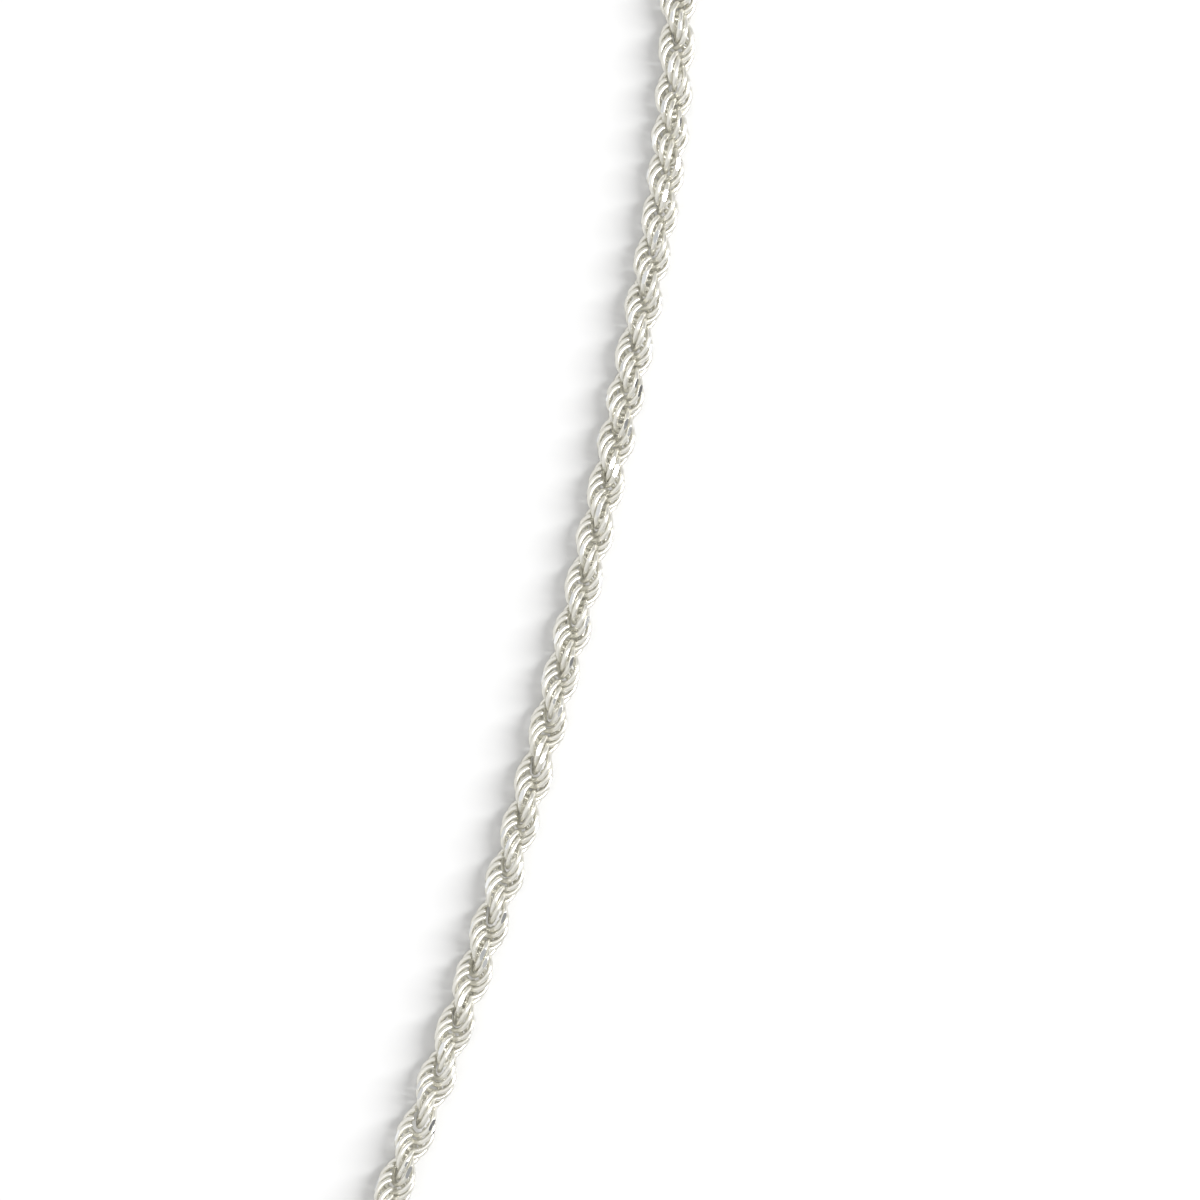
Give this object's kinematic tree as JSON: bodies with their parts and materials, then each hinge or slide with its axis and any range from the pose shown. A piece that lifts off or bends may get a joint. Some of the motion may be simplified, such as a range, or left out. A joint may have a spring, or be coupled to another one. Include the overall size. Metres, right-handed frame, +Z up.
{
  "type": "rope chain necklace",
  "caption": "Diamond-cut silver rope chain necklace laid in a closed loop, with cupped ends and a ring clasp.",
  "frame": {"origin": "on the surface the necklace lies on, at the middle of the loop's box from side to side and from clasp to front", "axes": "+Z up from the surface; +Y from the front of the loop towards the clasp; +X to the right seen from above"},
  "size_m": [0.1432, 0.1736, 0.0033],
  "materials": {
    "chain_silver": "polished silver, diamond cut",
    "fitting_silver": "polished silver"
  },
  "bodies": {
    "root": {"rope_chain": "chain_silver", "end_cup_left": "fitting_silver", "end_cup_right": "fitting_silver", "clasp": "fitting_silver"}
  },
  "joints": []
}
